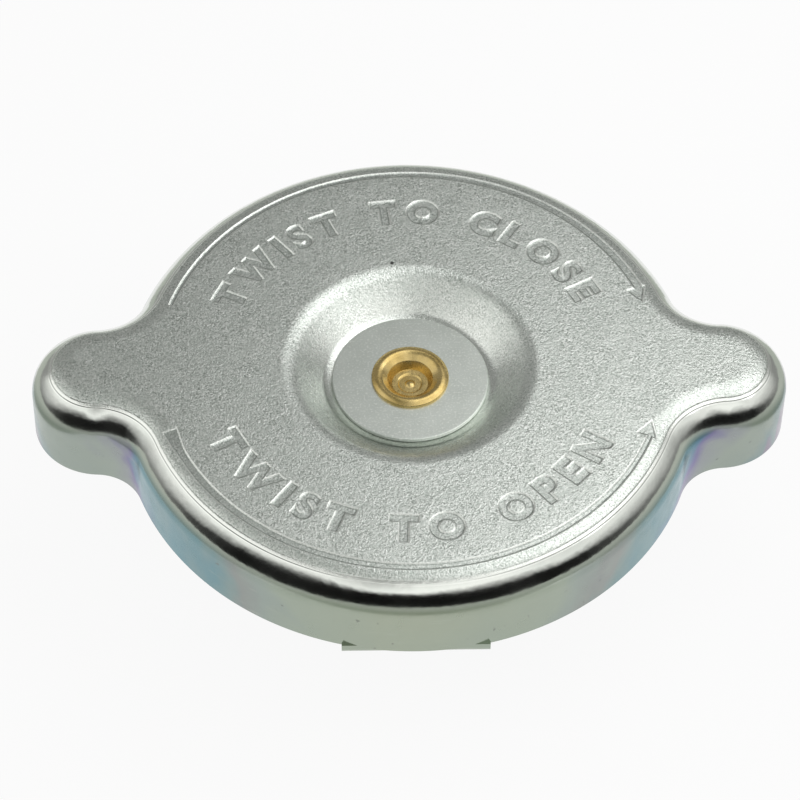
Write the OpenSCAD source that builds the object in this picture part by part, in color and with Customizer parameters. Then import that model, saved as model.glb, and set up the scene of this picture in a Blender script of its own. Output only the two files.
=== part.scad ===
// Pressure cap of a radiator: a pressed shell with two ears that turns on a central rivet,
// over a sprung pressure valve with a small vacuum valve in its middle.
// Millimetres. Origin at the centre of the rubber seal's lower face, +Z up, ears along X, cam lugs along Y.

/* [Shell] */
// Diameter of the round body
body_d = 61; // [58:0.5:66]
// Distance between the tips of the two ears
ear_span = 80.2; // [78:0.2:84]
// Width of an ear across its round end
ear_w = 14.3; // [13:0.1:16]
// Radius of the hollow curve between body and ear
blend_r = 5.2; // [4:0.1:7]
// Height of the shell from the skirt's edge to the top
shell_h = 9.7; // [9:0.1:12]
// Thickness of the shell's sheet
sheet_t = 1; // [0.8:0.05:1.2]
// Radius of the rounded rim, on the outside
rim_r = 4.2; // [3.6:0.1:4.6]
// Diameter of the dish at the top of its slope
dish_rim_d = 25.4; // [25:0.1:28]
// How far the foot of the dish's slope lies outside the washer
dish_border = 0.45; // [0.4:0.05:1]
// Depth of the dish
dish_depth = 3.2; // [2.6:0.1:3.4]
// Radius of the dish's upper bend, on the outside
dish_rim_bend_r = 3; // [2:0.1:3.6]
// Radius of the dish's lower bend, on the outside
dish_floor_bend_r = 1.8; // [1.2:0.1:2]

/* [Cam lugs] */
// Width of a lug
lug_w = 15.3; // [13:0.1:17]
// Distance between the inner edges of the two lugs
lug_gap = 49; // [46:0.5:52]
// How far a lug's lower face lies below the skirt's edge
lug_drop = 1.4; // [1.1:0.05:1.8]
// Inside radius of a lug's fold
lug_bend_r = 0.3; // [0.2:0.05:0.5]
// How far the middle of the straight fold lies inside the skirt's outer face
lug_inset = 0.6; // [0.5:0.05:0.7]
// How far the flat of the fold reaches up over the skirt's edge
lug_rise = 0.4; // [0.3:0.05:0.8]
// Rounding of a lug's free corners
lug_corner_r = 2; // [1:0.1:3]

/* [Rivet and washer] */
// Diameter of the washer
washer_d = 16.6; // [14:0.1:17]
// Thickness of the washer
washer_t = 0.5; // [0.4:0.05:0.8]
// Diameter of the rivet's shank
shank_d = 6; // [5.4:0.1:6.6]
// Diameter of the rolled end
roll_d = 8.2; // [8:0.1:8.8]
// Height of the roll's outer edge
roll_edge_h = 0.3; // [0.2:0.05:0.4]
// Rounding of the roll's outer edge
roll_edge_r = 0.15; // [0.1:0.05:0.2]
// Diameter of the roll's crest
crest_d = 6.7; // [6.4:0.1:6.8]
// Height of the roll's crest above the washer, before rounding
crest_h = 0.75; // [0.6:0.05:0.8]
// Rounding of the roll's crest
crest_r = 0.8; // [0.6:0.05:0.9]
// Diameter of the recess at its mouth, level with the washer
recess_mouth_d = 4.8; // [4.6:0.1:5]
// Rounding of the recess's mouth
recess_mouth_r = 0.3; // [0.2:0.05:0.4]
// Diameter of the recess at its floor
recess_floor_d = 3.8; // [3.4:0.1:4.2]
// Depth of the recess below the washer's face
recess_depth = 0.85; // [0.7:0.05:1.2]
// Diameter of the sunk ring in the recess
ring_d = 2.6; // [2.2:0.1:3]
// Depth of the sunk ring
ring_depth = 0.15; // [0.1:0.05:0.3]
// Diameter of the pip in the middle
pip_d = 0.8; // [0.5:0.1:1.2]
// Diameter of the rivet's lower head
head_d = 9.2; // [8:0.1:10]
// Thickness of the rivet's lower head
head_t = 0.8; // [0.6:0.05:1.2]

/* [Diaphragm and spring seat] */
// Diameter of the diaphragm
diaphragm_d = 49.6; // [46:0.2:52]
// Thickness of the diaphragm
diaphragm_t = 0.4; // [0.3:0.05:0.5]
// How far the diaphragm's edge lies below its middle
diaphragm_drop = 2; // [1:0.1:2.6]
// Flat border of the diaphragm round the spring seat
seat_border = 1; // [0.9:0.1:1.6]
// Width of the flat edge of the diaphragm
diaphragm_edge_w = 4.2; // [3:0.1:5]
// Radius of the diaphragm's bends
diaphragm_bend_r = 4.2; // [2:0.1:6]
// Thickness of the spring seat
seat_t = 0.8; // [0.6:0.05:1]
// Depth of the spring seat's turned-down edge
seat_lip_h = 1.6; // [1.4:0.1:2.4]
// Inside radius of the spring seat's bend
seat_bend_r = 0.4; // [0.2:0.05:0.6]

/* [Valve] */
// Distance from the skirt's edge down to the seal's lower face
valve_reach = 17; // [15:0.5:21]
// Diameter of the seal
seal_d = 33; // [30:0.5:36]
// Height of the seal
seal_h = 4.2; // [3.8:0.1:5]
// Width of the seal's bead
bead_w = 4.4; // [3.6:0.1:5]
// Thickness of the seal's web
web_t = 1.2; // [0.9:0.1:1.4]
// Rounding of the bead
bead_round = 0.6; // [0.3:0.05:0.9]
// Thickness of the valve plate
plate_t = 0.8; // [0.6:0.05:1]
// Depth of the plate's turned-down edge below its underside
plate_lip_h = 1.4; // [1:0.1:2]
// Inside radius of the plate's bend
plate_bend_r = 0.4; // [0.2:0.05:0.6]
// How far the valve lifts
valve_lift = 4.5; // [3:0.1:5]
// Diameter of the bell
bell_d = 17.6; // [17:0.1:19]
// Thickness of the bell and of the guide cup
cup_t = 0.6; // [0.5:0.05:0.7]
// Inside radius of the bends of the bell's top and of the guide cup
cup_bend_r = 0.5; // [0.3:0.05:0.7]
// Width of the bell's flange
flange_w = 0.8; // [0.7:0.05:1]
// Radius of the bend between the bell and its flange, on the outside
flange_bend_r = 0.15; // [0.1:0.05:0.2]

/* [Vacuum valve] */
// Diameter of the retainer's tube
tube_d = 11.6; // [11:0.1:12.4]
// Diameter of the retainer's flange
retainer_d = 19.6; // [18:0.1:21]
// Thickness of the retainer
retainer_t = 0.6; // [0.5:0.05:0.7]
// How far the retainer's swaged bead stands out, and half its height
swage_w = 0.4; // [0.3:0.05:0.6]
// Diameter of the poppet's disc
poppet_d = 14.4; // [13.4:0.1:16]
// Thickness of the poppet's disc
poppet_t = 0.8; // [0.6:0.05:1]
// Bevel of the poppet's edges
poppet_bevel = 0.2; // [0.1:0.05:0.3]
// Diameter of the poppet's stem
stem_d = 2.4; // [2:0.1:2.8]
// Length of the stem above the snap ring
stem_end = 0.6; // [0.4:0.1:1]
// Depth of the groove for the snap ring
groove_depth = 0.4; // [0.3:0.05:0.5]
// How far the poppet drops
vacuum_drop = 1.2; // [0.8:0.1:1.3]
// Number of vent holes in the retainer
vent_n = 6; // [4:1:6]
// Diameter of a vent hole
vent_d = 1.6; // [1.2:0.1:1.8]
// Diameter of the snap ring
clip_d = 5.6; // [5.2:0.1:6.4]
// Thickness of the snap ring
clip_t = 0.5; // [0.4:0.05:0.7]
// Angle of the snap ring's mouth
clip_mouth = 70; // [50:1:90]

/* [Springs] */
// Wire of the pressure spring
wire_d = 1.6; // [1.3:0.1:1.8]
// Turns of the pressure spring
wire_turns = 5; // [4:0.5:5.5]
// Wire of the vacuum spring
fine_wire_d = 0.4; // [0.3:0.05:0.45]
// Turns of the vacuum spring
fine_turns = 4; // [3:0.5:4.5]
// Flat part of a turn at each end of a spring
end_turn = 0.5; // [0.25:0.05:0.75]

/* [Clearances] */
// Gap round a turning or sliding piece, on the radius
run_gap = 0.08; // [0.04:0.01:0.1]
// Gap round a fixed piece, on the radius
fit_gap = 0.03; // [0.02:0.01:0.05]
// Gap between the flat faces of pieces that move on each other
face_gap = 0.05; // [0.03:0.01:0.1]
// Gap between a coil spring and what it goes round
coil_gap = 0.7; // [0.4:0.1:1]

/* [Hidden] */

$fn = 96;
// Straight steps in a rounded corner
corner_steps = 8;
// How far a cutting form reaches past what it cuts
past = 1;
// Steps in a turn and sides of the wire, on the two springs
coil_steps = 28;
coil_sides = 10;
fine_coil_steps = 16;
fine_coil_sides = 8;

zinc = [0.78, 0.80, 0.78];
plain_steel = [0.62, 0.63, 0.65];
brass = [0.80, 0.62, 0.24];
rubber = [0.10, 0.10, 0.11];

body_r = body_d / 2;
ear_r = ear_w / 2;
ear_x = ear_span / 2 - ear_r;
shank_r = shank_d / 2;
stem_r = stem_d / 2;
bell_r = bell_d / 2;
seal_r = seal_d / 2;
tube_r = tube_d / 2;

// Heights of the shell
skirt_z = valve_reach;
top_z = skirt_z + shell_h;
dish_z = top_z - dish_depth;

// Centre of the hollow curve, on the lines from the body's and the ear's centre through the points of touch
blend_from_body = body_r + blend_r;
blend_from_ear = ear_r + blend_r;
blend_angle = acos((blend_from_body ^ 2 + ear_x ^ 2 - blend_from_ear ^ 2) / (2 * blend_from_body * ear_x));
blend_at = blend_from_body * [cos(blend_angle), sin(blend_angle)];
// The hollow curve is pressed this much deeper, so that it crosses the round walls at a clear angle
blend_relief = 0.05;
// Where the neck of an ear starts, as a share of the way to the hollow curve's centre
neck_start = 0.62;

// Stack under the dish, from the top down
washer_z = dish_z + face_gap;
roll_z = washer_z + washer_t;
diaphragm_z = dish_z - sheet_t - face_gap - diaphragm_t;
seat_z = diaphragm_z - seat_t;
bell_top_z = seat_z;
head_z = bell_top_z - cup_t - head_t;

// Stack over the seal, from the bottom up
web_z = seal_h - web_t;
plate_z = seal_h;
cup_z = plate_z + plate_t;
cup_floor_z = cup_z + cup_t;
flange_z = cup_floor_z + valve_lift + face_gap;
lip_z = flange_z + cup_t + face_gap;
cup_top_z = lip_z + cup_t;
// The flange runs clear of the bends inside the guide cup
cup_bore_r = bell_r + flange_w + cup_bend_r + run_gap;
cup_r = cup_bore_r + cup_t;

// Retainer, poppet and snap ring; the poppet has dropped all the way when its spring is closed up
fine_length = vacuum_drop + (fine_turns + 1) * fine_wire_d;
retainer_z = web_z - retainer_t;
swage_z = cup_floor_z;
retainer_top_z = swage_z + 2 * swage_w + 2 * retainer_t;
poppet_z = retainer_z - face_gap - poppet_t;
clip_z = retainer_top_z + fine_length;
groove_r = stem_r - groove_depth;

// Holes of the pieces held by the rivet's shank and by the retainer's tube
shank_hole_r = shank_r + fit_gap;
tube_hole_r = tube_r + fit_gap;

// Coil springs
coil_r = cup_r + coil_gap + wire_d / 2;
coil_bottom_z = cup_z + face_gap;
coil_top_z = seat_z - face_gap;
fine_coil_r = stem_r + coil_gap + fine_wire_d / 2;
seat_r = coil_r + wire_d / 2 + coil_gap / 2 + seat_t;

function unit(v) = v / norm(v);
function left(v) = [-v[1], v[0]];
function turned(v, a) = [v[0] * cos(a) - v[1] * sin(a), v[0] * sin(a) + v[1] * cos(a)];

// One rounded corner of a folded line, as pairs of a point and the direction to its left
function corner(a, b, c, r) =
    let (
        into = unit(b - a),
        out = unit(c - b),
        turn = atan2(cross(into, out), into * out),
        side = sign(turn),
        centre = b - into * r * tan(abs(turn) / 2) + side * r * left(into)
    )
    [for (i = [0 : corner_steps])
        let (across = turned(left(into), turn * i / corner_steps))
        [centre - side * r * across, across]];

// A folded line with rounded corners; radii holds one radius for each inner point of the path
function folded(path, radii) =
    let (last = len(path) - 1)
    [
        [path[0], left(unit(path[1] - path[0]))],
        for (i = [1 : last - 1]) each corner(path[i - 1], path[i], path[i + 1], radii[i - 1]),
        [path[last], left(unit(path[last] - path[last - 1]))]
    ];

function beside(line, distance) = [for (s = line) s[0] + s[1] * distance];
function reversed(list) = [for (i = [len(list) - 1 : -1 : 0]) list[i]];

// Section of a folded sheet whose right-hand face follows the path
function sheet_section(path, radii, t) =
    let (line = folded(path, radii))
    concat(beside(line, 0), reversed(beside(line, t)));

// Half section of a filled drawn form: a straight wall and a rounded rim, down to base_z
module drawn_section(r, height_z, rim, base_z) {
    translate([0, base_z])
        square([r, height_z - rim - base_z]);
    translate([0, base_z])
        square([r - rim, height_z - base_z]);
    intersection() {
        translate([r - rim, height_z - rim])
            circle(rim);
        translate([0, base_z])
            square([r, height_z - base_z]);
    }
}

// Half section of what a hollow curve takes away: the same wall and rim, seen from outside
module hollow_section(r, height_z, rim, base_z) {
    difference() {
        translate([0, base_z - past])
            square([r + rim, height_z - base_z + 2 * past]);
        translate([r, base_z - 2 * past])
            square([rim + past, height_z - rim - base_z + 2 * past]);
        translate([r + rim, height_z - rim])
            circle(rim);
    }
}

// Half section of the space in the dish, at a depth below the shell's outer face
dish_line = folded(
    [[body_r, top_z], [dish_rim_d / 2, top_z], [washer_d / 2 + dish_border, dish_z], [0, dish_z]],
    [dish_rim_bend_r, dish_floor_bend_r]);

module dish_section(depth) {
    slope = [for (i = [1 : len(dish_line) - 1]) dish_line[i][0] + dish_line[i][1] * depth];
    run_in = 2 * slope[0] - slope[1];
    polygon(concat([[run_in[0], top_z + past], run_in], slope, [[0, top_z + past]]));
}

// Neck between body and ear, with a hollow curve on each side
ear_at = [ear_x, 0];
neck_side = [
    neck_start * blend_at,
    (1 - blend_r / 2 / blend_from_body) * blend_at,
    blend_at + (ear_at - blend_at) * blend_r / 2 / blend_from_ear];
neck_plan = concat(neck_side, [ear_at], [for (p = reversed(neck_side)) [p[0], -p[1]]]);
// Turns the seam of a revolved hollow away from the neck
seam_angle = 135;

module neck_form(depth, base_z) {
    difference() {
        translate([0, 0, base_z])
            linear_extrude(top_z - depth - base_z)
                polygon(neck_plan);
        for (side = [-1, 1])
            translate([blend_at[0], side * blend_at[1]])
                rotate(-side * seam_angle)
                    rotate_extrude()
                        hollow_section(blend_r + blend_relief + depth, top_z - depth,
                            rim_r + blend_relief - depth, base_z);
    }
}

// The pressing's form, filled, at a depth below its outer face
module pressing(depth, base_z) {
    rotate_extrude()
        difference() {
            drawn_section(body_r - depth, top_z - depth, rim_r - depth, base_z);
            dish_section(depth);
        }
    for (end = [0, 180])
        rotate(end) {
            translate(ear_at)
                rotate_extrude()
                    drawn_section(ear_r - depth, top_z - depth, rim_r - depth, base_z);
            neck_form(depth, base_z);
        }
}

// Lug on the -Y side: a tongue of the skirt, folded in along a straight line and rounded at its free corners
fold_r = body_r - lug_inset;
lug_z = skirt_z - lug_drop;
lug_path = [[lug_gap / 2, lug_z], [fold_r, lug_z], [fold_r, skirt_z + lug_rise]];

module lug_plan() {
    inner_w = lug_w - 2 * lug_corner_r;
    translate([-lug_w / 2, -fold_r - past])
        square([lug_w, fold_r - lug_gap / 2 - lug_corner_r + past]);
    translate([-inner_w / 2, -fold_r - past])
        square([inner_w, fold_r - lug_gap / 2 + past]);
    for (side = [-1, 1])
        translate([side * inner_w / 2, -lug_gap / 2 - lug_corner_r])
            circle(lug_corner_r);
}

module lug() {
    intersection() {
        rotate([90, 0, -90])
            linear_extrude(lug_w + 2 * past, center = true)
                polygon(sheet_section(lug_path, [lug_bend_r + sheet_t], sheet_t));
        translate([0, 0, lug_z - past])
            linear_extrude(lug_drop + lug_rise + 2 * past)
                lug_plan();
    }
}

module shell() {
    color(zinc) {
        difference() {
            pressing(0, skirt_z);
            pressing(sheet_t, skirt_z - past);
            cylinder(r = shank_r + run_gap, h = top_z);
        }
        for (side = [0, 180])
            rotate(side)
                lug();
    }
}

module crown_washer() {
    color(zinc)
        translate([0, 0, washer_z])
            difference() {
                cylinder(d = washer_d, h = washer_t);
                translate([0, 0, -past])
                    cylinder(r = shank_hole_r, h = washer_t + 2 * past);
            }
}

// Rolled end, from the recess's floor over the crest to the outer edge
recess_z = roll_z - recess_depth;
roll_path = [[recess_floor_d / 2, recess_z], [recess_mouth_d / 2, roll_z], [crest_d / 2, roll_z + crest_h],
    [roll_d / 2, roll_z + roll_edge_h], [roll_d / 2, roll_z]];

module rivet() {
    rolled = beside(folded(roll_path, [recess_mouth_r, crest_r, roll_edge_r]), 0);
    color(brass)
        rotate_extrude()
            polygon(concat(
                [[0, recess_z], [pip_d / 2, recess_z], [pip_d / 2 + ring_depth, recess_z - ring_depth],
                    [ring_d / 2 - ring_depth, recess_z - ring_depth], [ring_d / 2, recess_z]],
                rolled,
                [[shank_r, roll_z], [shank_r, head_z + head_t], [head_d / 2, head_z + head_t],
                    [head_d / 2, head_z], [0, head_z]]));
}

module diaphragm() {
    edge_r = diaphragm_d / 2;
    top = diaphragm_z + diaphragm_t;
    path = [[edge_r, top - diaphragm_drop], [edge_r - diaphragm_edge_w, top - diaphragm_drop],
        [seat_r + seat_border, top], [shank_hole_r, top]];
    color(plain_steel)
        rotate_extrude()
            polygon(sheet_section(path, [diaphragm_bend_r, diaphragm_bend_r], diaphragm_t));
}

module spring_seat() {
    path = [[seat_r, seat_z + seat_t - seat_lip_h], [seat_r, seat_z + seat_t], [shank_hole_r, seat_z + seat_t]];
    color(zinc)
        rotate_extrude()
            polygon(sheet_section(path, [seat_bend_r + seat_t], seat_t));
}

module bell() {
    path = [[bell_r + flange_w, flange_z + cup_t], [bell_r, flange_z + cup_t], [bell_r, bell_top_z],
        [shank_hole_r, bell_top_z]];
    color(zinc)
        rotate_extrude()
            polygon(sheet_section(path, [flange_bend_r, cup_bend_r + cup_t], cup_t));
}

// How far up the coil the wire is at a turn, from 0 to 1, with its end turns flat
function coil_rise(turn, turns) =
    min(max(turn - end_turn, 0), turns - 2 * end_turn) / (turns - 2 * end_turn);

module coil(r, wire_r, bottom_z, length, turns, steps, sides) {
    last = round(turns * steps);
    rings = [for (i = [0 : last])
        let (
            a = 360 * i / steps,
            z = bottom_z + wire_r + (length - 2 * wire_r) * coil_rise(i / steps, turns)
        )
        [for (j = [0 : sides - 1])
            let (b = 360 * (j + 0.5) / sides, out = r + wire_r * cos(b))
            [out * cos(a), out * sin(a), z + wire_r * sin(b)]]];
    points = [for (ring = rings) each ring];
    walls = [for (i = [0 : last - 1], j = [0 : sides - 1])
        let (next = (j + 1) % sides)
        [i * sides + j, (i + 1) * sides + j, (i + 1) * sides + next, i * sides + next]];
    start = [for (j = [0 : sides - 1]) j];
    end = [for (j = [sides - 1 : -1 : 0]) last * sides + j];
    polyhedron(points = points, faces = concat(walls, [start, end]));
}

module pressure_spring() {
    color(plain_steel)
        coil(coil_r, wire_d / 2, coil_bottom_z, coil_top_z - coil_bottom_z, wire_turns, coil_steps, coil_sides);
}

module guide_cup() {
    bend = cup_bend_r + cup_t;
    path = [[tube_hole_r, cup_z], [cup_r, cup_z], [cup_r, cup_top_z], [bell_r + run_gap, cup_top_z]];
    color(zinc)
        rotate_extrude()
            polygon(sheet_section(path, [bend, bend], cup_t));
}

module valve_plate() {
    edge_r = seal_r + run_gap + plate_t;
    path = [[edge_r, plate_z - plate_lip_h], [edge_r, plate_z + plate_t], [tube_hole_r, plate_z + plate_t]];
    color(zinc)
        rotate_extrude()
            polygon(sheet_section(path, [plate_bend_r + plate_t], plate_t));
}

// Moulded ring: a bead to seal on, a web for the retainer's flange, and an edge that clears the plate's bend
module valve_seal() {
    bead_r = seal_r - bead_w;
    path = [[tube_hole_r, web_z], [bead_r, web_z], [bead_r, 0], [seal_r, 0], [seal_r, seal_h],
        [tube_hole_r, seal_h]];
    radii = [bead_round, bead_round, bead_round, plate_bend_r + run_gap];
    color(rubber)
        rotate_extrude()
            polygon(beside(folded(path, radii), 0));
}

// Top hat: flange under the seal's web, tube through the stack, swaged out over the guide cup's floor
module seal_retainer() {
    bore_r = tube_r - retainer_t;
    color(brass)
        difference() {
            rotate_extrude() {
                translate([bore_r, retainer_z])
                    square([retainer_d / 2 - bore_r, retainer_t]);
                translate([bore_r, retainer_z])
                    square([retainer_t, retainer_top_z - retainer_z]);
                translate([0, retainer_top_z - retainer_t])
                    square([tube_r, retainer_t]);
                polygon([[tube_r - swage_w, swage_z], [tube_r + swage_w, swage_z],
                    [tube_r + 2 * swage_w, swage_z + swage_w], [tube_r + swage_w, swage_z + 2 * swage_w],
                    [tube_r - swage_w, swage_z + 2 * swage_w]]);
            }
            cylinder(r = stem_r + run_gap, h = retainer_top_z + past);
            for (i = [0 : vent_n - 1])
                rotate(360 * i / vent_n)
                    translate([(bore_r + stem_r) / 2 + run_gap, 0])
                        cylinder(d = vent_d, h = retainer_top_z + past);
        }
}

module vacuum_valve() {
    disc_r = poppet_d / 2;
    disc_top = poppet_z + poppet_t;
    clip_top = clip_z + clip_t;
    stem_top = clip_top + stem_end;
    color(brass)
        rotate_extrude()
            polygon([[0, poppet_z], [disc_r - poppet_bevel, poppet_z], [disc_r, poppet_z + poppet_bevel],
                [disc_r, disc_top - poppet_bevel], [disc_r - poppet_bevel, disc_top], [stem_r, disc_top],
                [stem_r, clip_z], [groove_r, clip_z], [groove_r, clip_top], [stem_r, clip_top],
                [stem_r, stem_top - poppet_bevel], [stem_r - poppet_bevel, stem_top], [0, stem_top]]);
}

module vacuum_spring() {
    color(plain_steel)
        coil(fine_coil_r, fine_wire_d / 2, retainer_top_z + face_gap, fine_length - 2 * face_gap,
            fine_turns, fine_coil_steps, fine_coil_sides);
}

module vacuum_clip() {
    inner_r = groove_r + fit_gap;
    color(plain_steel)
        rotate(clip_mouth / 2)
            rotate_extrude(angle = 360 - clip_mouth)
                translate([inner_r, clip_z])
                    square([clip_d / 2 - inner_r, clip_t]);
}

shell();
crown_washer();
rivet();
diaphragm();
spring_seat();
bell();
pressure_spring();
guide_cup();
valve_plate();
valve_seal();
seal_retainer();
vacuum_valve();
vacuum_spring();
vacuum_clip();
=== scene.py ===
"""Looks of a radiator cap: pressed zinc-plated shell, brass rivet and the sprung valve under it."""
import math
from itertools import chain

import bpy
import numpy as np
from mathutils import Matrix, Vector
from mathutils.geometry import delaunay_2d_cdt, intersect_line_line_2d


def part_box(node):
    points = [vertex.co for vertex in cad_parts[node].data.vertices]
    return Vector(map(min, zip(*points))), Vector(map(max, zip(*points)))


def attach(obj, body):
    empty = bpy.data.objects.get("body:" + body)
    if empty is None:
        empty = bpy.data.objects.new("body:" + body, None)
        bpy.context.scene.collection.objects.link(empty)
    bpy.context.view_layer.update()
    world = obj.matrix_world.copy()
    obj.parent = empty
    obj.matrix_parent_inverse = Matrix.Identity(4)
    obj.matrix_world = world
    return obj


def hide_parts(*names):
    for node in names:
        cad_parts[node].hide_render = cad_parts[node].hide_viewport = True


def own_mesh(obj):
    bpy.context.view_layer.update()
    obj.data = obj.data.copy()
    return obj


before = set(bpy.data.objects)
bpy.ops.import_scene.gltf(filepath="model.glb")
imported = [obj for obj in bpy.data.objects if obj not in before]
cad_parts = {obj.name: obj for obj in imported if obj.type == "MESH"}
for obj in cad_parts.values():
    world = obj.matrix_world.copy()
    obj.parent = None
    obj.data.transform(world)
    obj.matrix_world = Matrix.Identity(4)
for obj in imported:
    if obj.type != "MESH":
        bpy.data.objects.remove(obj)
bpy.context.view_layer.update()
MM = 0.001

# Sizes of the shell in millimetres, its heights from the frame
shell_low, shell_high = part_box("shell")
TOP = shell_high.z / MM
BODY_R = 30.5
EAR_TIP = 40.1
EAR_R = 7.15
BLEND_R = 5.2
SHELL_H = 9.7
SKIRT_Z = TOP - SHELL_H
SHEET = 1.0
EDGE_ROUND = 0.12
RIM_R = 4.2
RIM_FOOT_Z = TOP - RIM_R
DISH_RIM_R = 12.7
DISH_LEAD = 6
DISH_FLOOR_R = 8.75
DISH_DEPTH = 3.2
DISH_RIM_BEND = 3.0
DISH_FLOOR_BEND = 1.8
BORE_R = 3.08

# Cam lugs folded in from the skirt
LUG_Z = shell_low.z / MM
LUG_W = 15.3
LUG_GAP_R = 24.5
LUG_INSET = 0.6
LUG_BEND = 1.3
LUG_RISE = 0.4
LUG_CORNER = 2.0

# How finely the shell is divided: points of each stretch, rows, and angles from the rim's crest in degrees
EAR_POINTS = 28
BLEND_POINTS = 24
BODY_POINTS = 168
DISH_POINTS = 240
DISH_STEPS = 16
LUG_SECTIONS = 45
SKIRT_ROWS = 9
FIELD_END = 22
RIM_TURNS = np.concatenate((
    np.arange(87, 37, -3), (36, 35, 34, 33.5, 33, 32.5, 32, 31, 30, 29, 28.4),
    (27.7, 27, 26.2, 25.5, 24, FIELD_END)))
FIELD_TURNS = (17, 12, 7, 0)
INSIDE_TURNS = np.arange(10, 91, 10)

# Finish of the shell, as shares of a grainy field, a tinted skirt and painted light
FIELD = (1, 0, 0)
SKIRT = (0, 1, 0)
INSIDE = (0.3, 0.5, 0)

# Coined edge of the field: angle from the rim's crest, then the step in millimetres, a share of finish or a
# share of painted light
CREASE = (
    (0, 0.0), (25.5, 0.0), (27.7, -0.06), (32.0, -0.06), (33.0, -0.09), (45, -0.09), (72, 0.0), (90, 0.0))
RIM_GRAIN = ((26, 1.0), (28, 0.4), (32, 0.15), (34, 0.0))
RIM_TINT = ((62, 0.0), (76, 1.0))
# Painted highlights along the two ridges of the coined edge
RIM_PAINTED_LIGHT = ((28, 0.0), (29, 0.9), (31.5, 0.9), (32, 0.0), (33.4, 0.0), (34, 0.8), (36, 0.0))
LEAST_CREASE = 0.25
CREASE_REACH = 28

# Share of grain by depth in the dish
DISH_GRAIN = ((0.4, 1.0), (1.6, 0.7), (2.6, 0.5))

# Stamped words and arrows. A shoulder has its distance in, depth, and painted light: a painted highlight
# over 0, painted shade under
STAMP_DEPTH = 0.17
SHOULDERS = (
    (-0.12, 0.0, 0.0), (-0.03, 0.02, 0.85), (0.07, 0.11, 0.1), (0.14, 0.155, -0.75),
    (0.21, STAMP_DEPTH, -0.2))
STAMP_CLEAR = 0.3
FAR_WORDS = dict(
    words="TWIST TO CLOSE", height=3.6, foot_r=19.5, middle=91, span=133, gap=1.6, outward=True)
NEAR_WORDS = dict(
    words="TWIST TO OPEN", height=3.75, foot_r=23.65, middle=268.5, span=128, gap=1.8, outward=False)
LETTER_WEIGHT = 0.3
LIGHTER = {"S": 0.2}
CAPITAL_SHARE = 0.729
LETTER_STEPS = 5
LEAST_LEAN = 0.5
FAR_ARROW = dict(start=162, end=18, tail_w=0.5, neck_w=1.0)
NEAR_ARROW = dict(start=199, end=342, tail_w=0.9, neck_w=0.6, flare=1.8)
ARROW_R = 26.7
ARROW_HEAD_R = ARROW_R - 0.3
ARROW_TIP_R = ARROW_R - 0.4
ARROW_HEAD = 2.1
ARROW_SPREAD = 1.1
ARROW_POINTS = 120
FLARE_POINTS = 6
FIELD_MARK = (-1.66, 13.85)
FIELD_MARK_R = 0.28

# Pieces on the rivet and under the shell, with heights from the seal's lower face
WASHER_R = 8.3
WASHER_Z = 23.55
WASHER_T = 0.5
WASHER_EDGE = 0.14
SHANK_R = 3.0
SHANK_HOLE_R = 3.03
ROLL_R = 4.1
ROLL_FOOT = (1.9, 23.2)
ROLL_THROAT_R = 2.4
ROLL_CREST_R = 3.35
ROLL_CREST_H = 0.75
ROLL_EDGE_H = 0.3
ROLL_BENDS = (0.3, 0.8, 0.15)
ROLL_STEPS = 12
HOLLOW = ((0, 23.23), (0.25, 23.22), (0.4, 23.18), (0.55, 23.05), (1.15, 23.05), (1.3, 23.18), (1.4, 23.2))
HEAD_R = 4.6
HEAD_Z = 19.85
HEAD_T = 0.8
HEAD_EDGE = 0.1
DIAPHRAGM_R = 24.8
DIAPHRAGM_LAND_R = 20.6
DIAPHRAGM_MIDDLE_R = 15.23
DIAPHRAGM_Z = 22.45
DIAPHRAGM_LAND_Z = DIAPHRAGM_Z - 2
DIAPHRAGM_BEND = 4.2
DIAPHRAGM_T = 0.4
DIAPHRAGM_STEPS = 14
SEAT_R = 14.23
SEAT_Z = 22.05
SEAT_LIP = 1.6
SEAT_BEND = 1.2
SEAT_T = 0.8
CUP_T = 0.6
CUP_BEND = 1.1
BELL_R = 8.8
BELL_FLANGE_R = 9.6
BELL_FLANGE_BEND = 0.15
BELL_Z = 21.25
BELL_MOUTH_Z = 10.75
GUIDE_R = 10.78
GUIDE_LIP_R = 8.88
GUIDE_TOP_Z = 11.4
TUBE_HOLE_R = 5.83
PLATE_R = 17.38
PLATE_Z = 5.0
PLATE_LIP_Z = 2.8
PLATE_BEND = 1.2
PLATE_T = 0.8
SEAL_R = 16.5
SEAL_RING_R = 12.1
SEAL_WEB_Z = 3.0
SEAL_TOP_Z = 4.2
SEAL_BEND = 0.6
SEAL_TOP_BEND = 0.48
SEAL_STEPS = 8
POPPET_DISC = (
    (0, 1.55), (6.9, 1.55), (7.1, 1.63), (7.2, 1.8), (7.2, 2.1), (7.1, 2.27), (6.9, 2.35), (1.2, 2.35))
POPPET_STEM = ((1.2, 10.8), (0.8, 10.8), (0.8, 11.3), (1.2, 11.3), (1.2, 11.7), (1.0, 11.9), (0, 11.9))
PRESSURE_SPRING_TOP = 21.2
VACUUM_SPRING_FOOT = 7.65
COIL_EASE = 0.12

# Edges sharper than these angles stay hard, in degrees
SHELL_HARD = 38
TURNED_HARD = 32
WIRE_HARD = 45

# Limits under which a length in millimetres or an area counts as none, and spots measured at a time
NO_LENGTH = 1e-6
NO_AREA = 1e-12
SPOTS_AT_ONCE = 500

# Camera found from the photograph's outline: degrees, millimetres, and pixels of an 800 frame
FRAME_PX = 800
VIEW_AZIMUTH = -2.3
VIEW_ELEVATION = 51.47
VIEW_ROLL = 1.2
VIEW_DISTANCE = 413.3
FOCAL_PX = 3844
TARGET_PX = (409.3, 419.4)
SENSOR_MM = 36.0
NEAR_CLIP = 0.01


# Small tools for objects and meshes

def added(name, data):
    """A new object in the scene."""
    made = bpy.data.objects.new(name, data)
    bpy.context.scene.collection.objects.link(made)
    return made


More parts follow.
